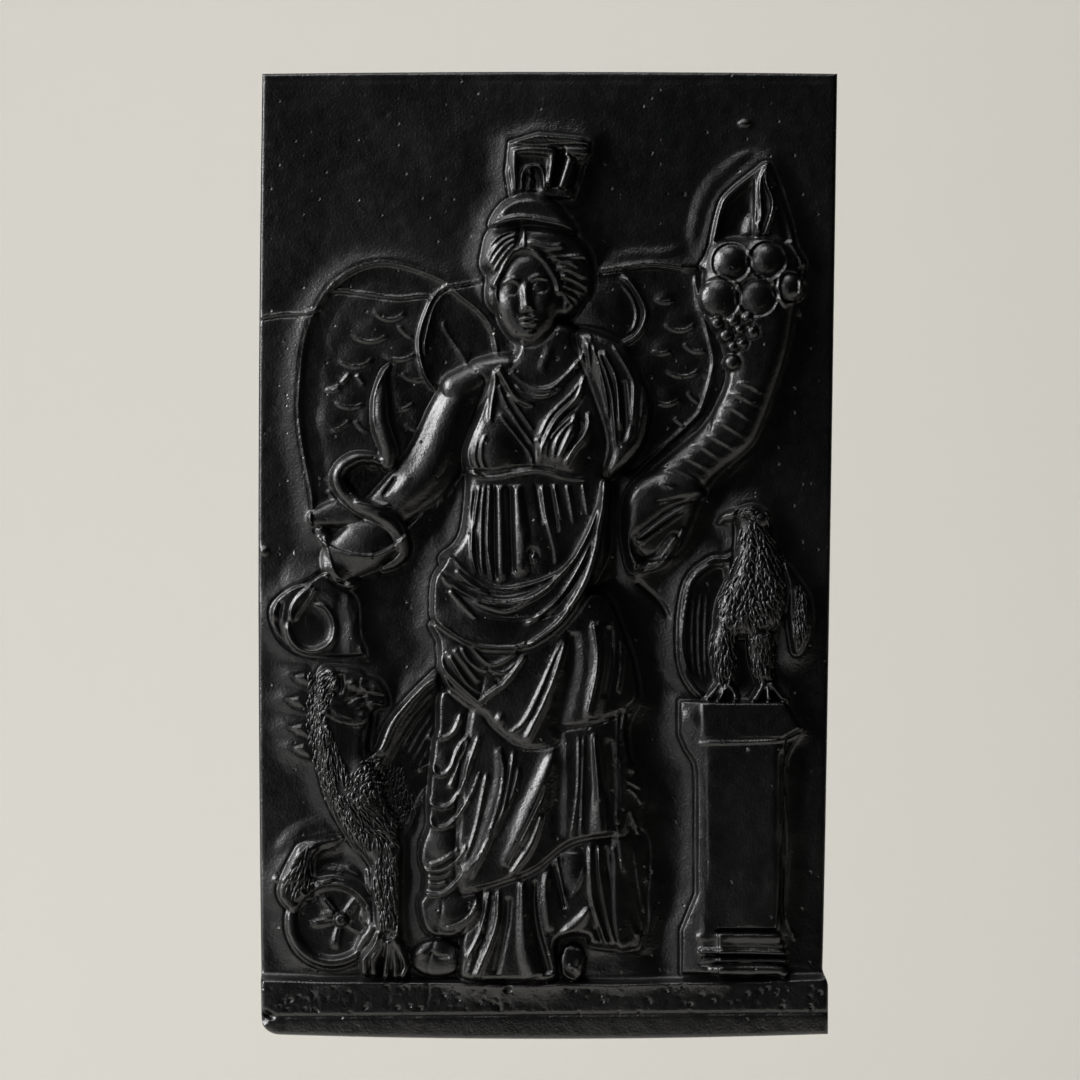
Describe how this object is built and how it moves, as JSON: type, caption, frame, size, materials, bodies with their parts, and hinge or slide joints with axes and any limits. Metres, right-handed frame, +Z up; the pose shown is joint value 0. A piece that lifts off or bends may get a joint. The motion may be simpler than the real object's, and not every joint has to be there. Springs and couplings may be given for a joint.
{
  "type": "glass relief plaque",
  "caption": "Upright slab of cast black glass, its front carved in high relief with a winged goddess, horn of plenty, eagle on a pillar and griffin; hangs flat on a wall.",
  "frame": {"origin": "middle of the flat back, which goes against the wall", "axes": "+Z up the plaque, -Y out of the wall towards the viewer, +X to the viewer's right"},
  "size_m": [0.174, 0.0261, 0.2904],
  "materials": {
    "black_glass": "opaque black cast glass, satin-glossy, with fine pits, bubbles and mould lines"
  },
  "bodies": {
    "root": {"glass_plaque": "black_glass"}
  },
  "joints": []
}
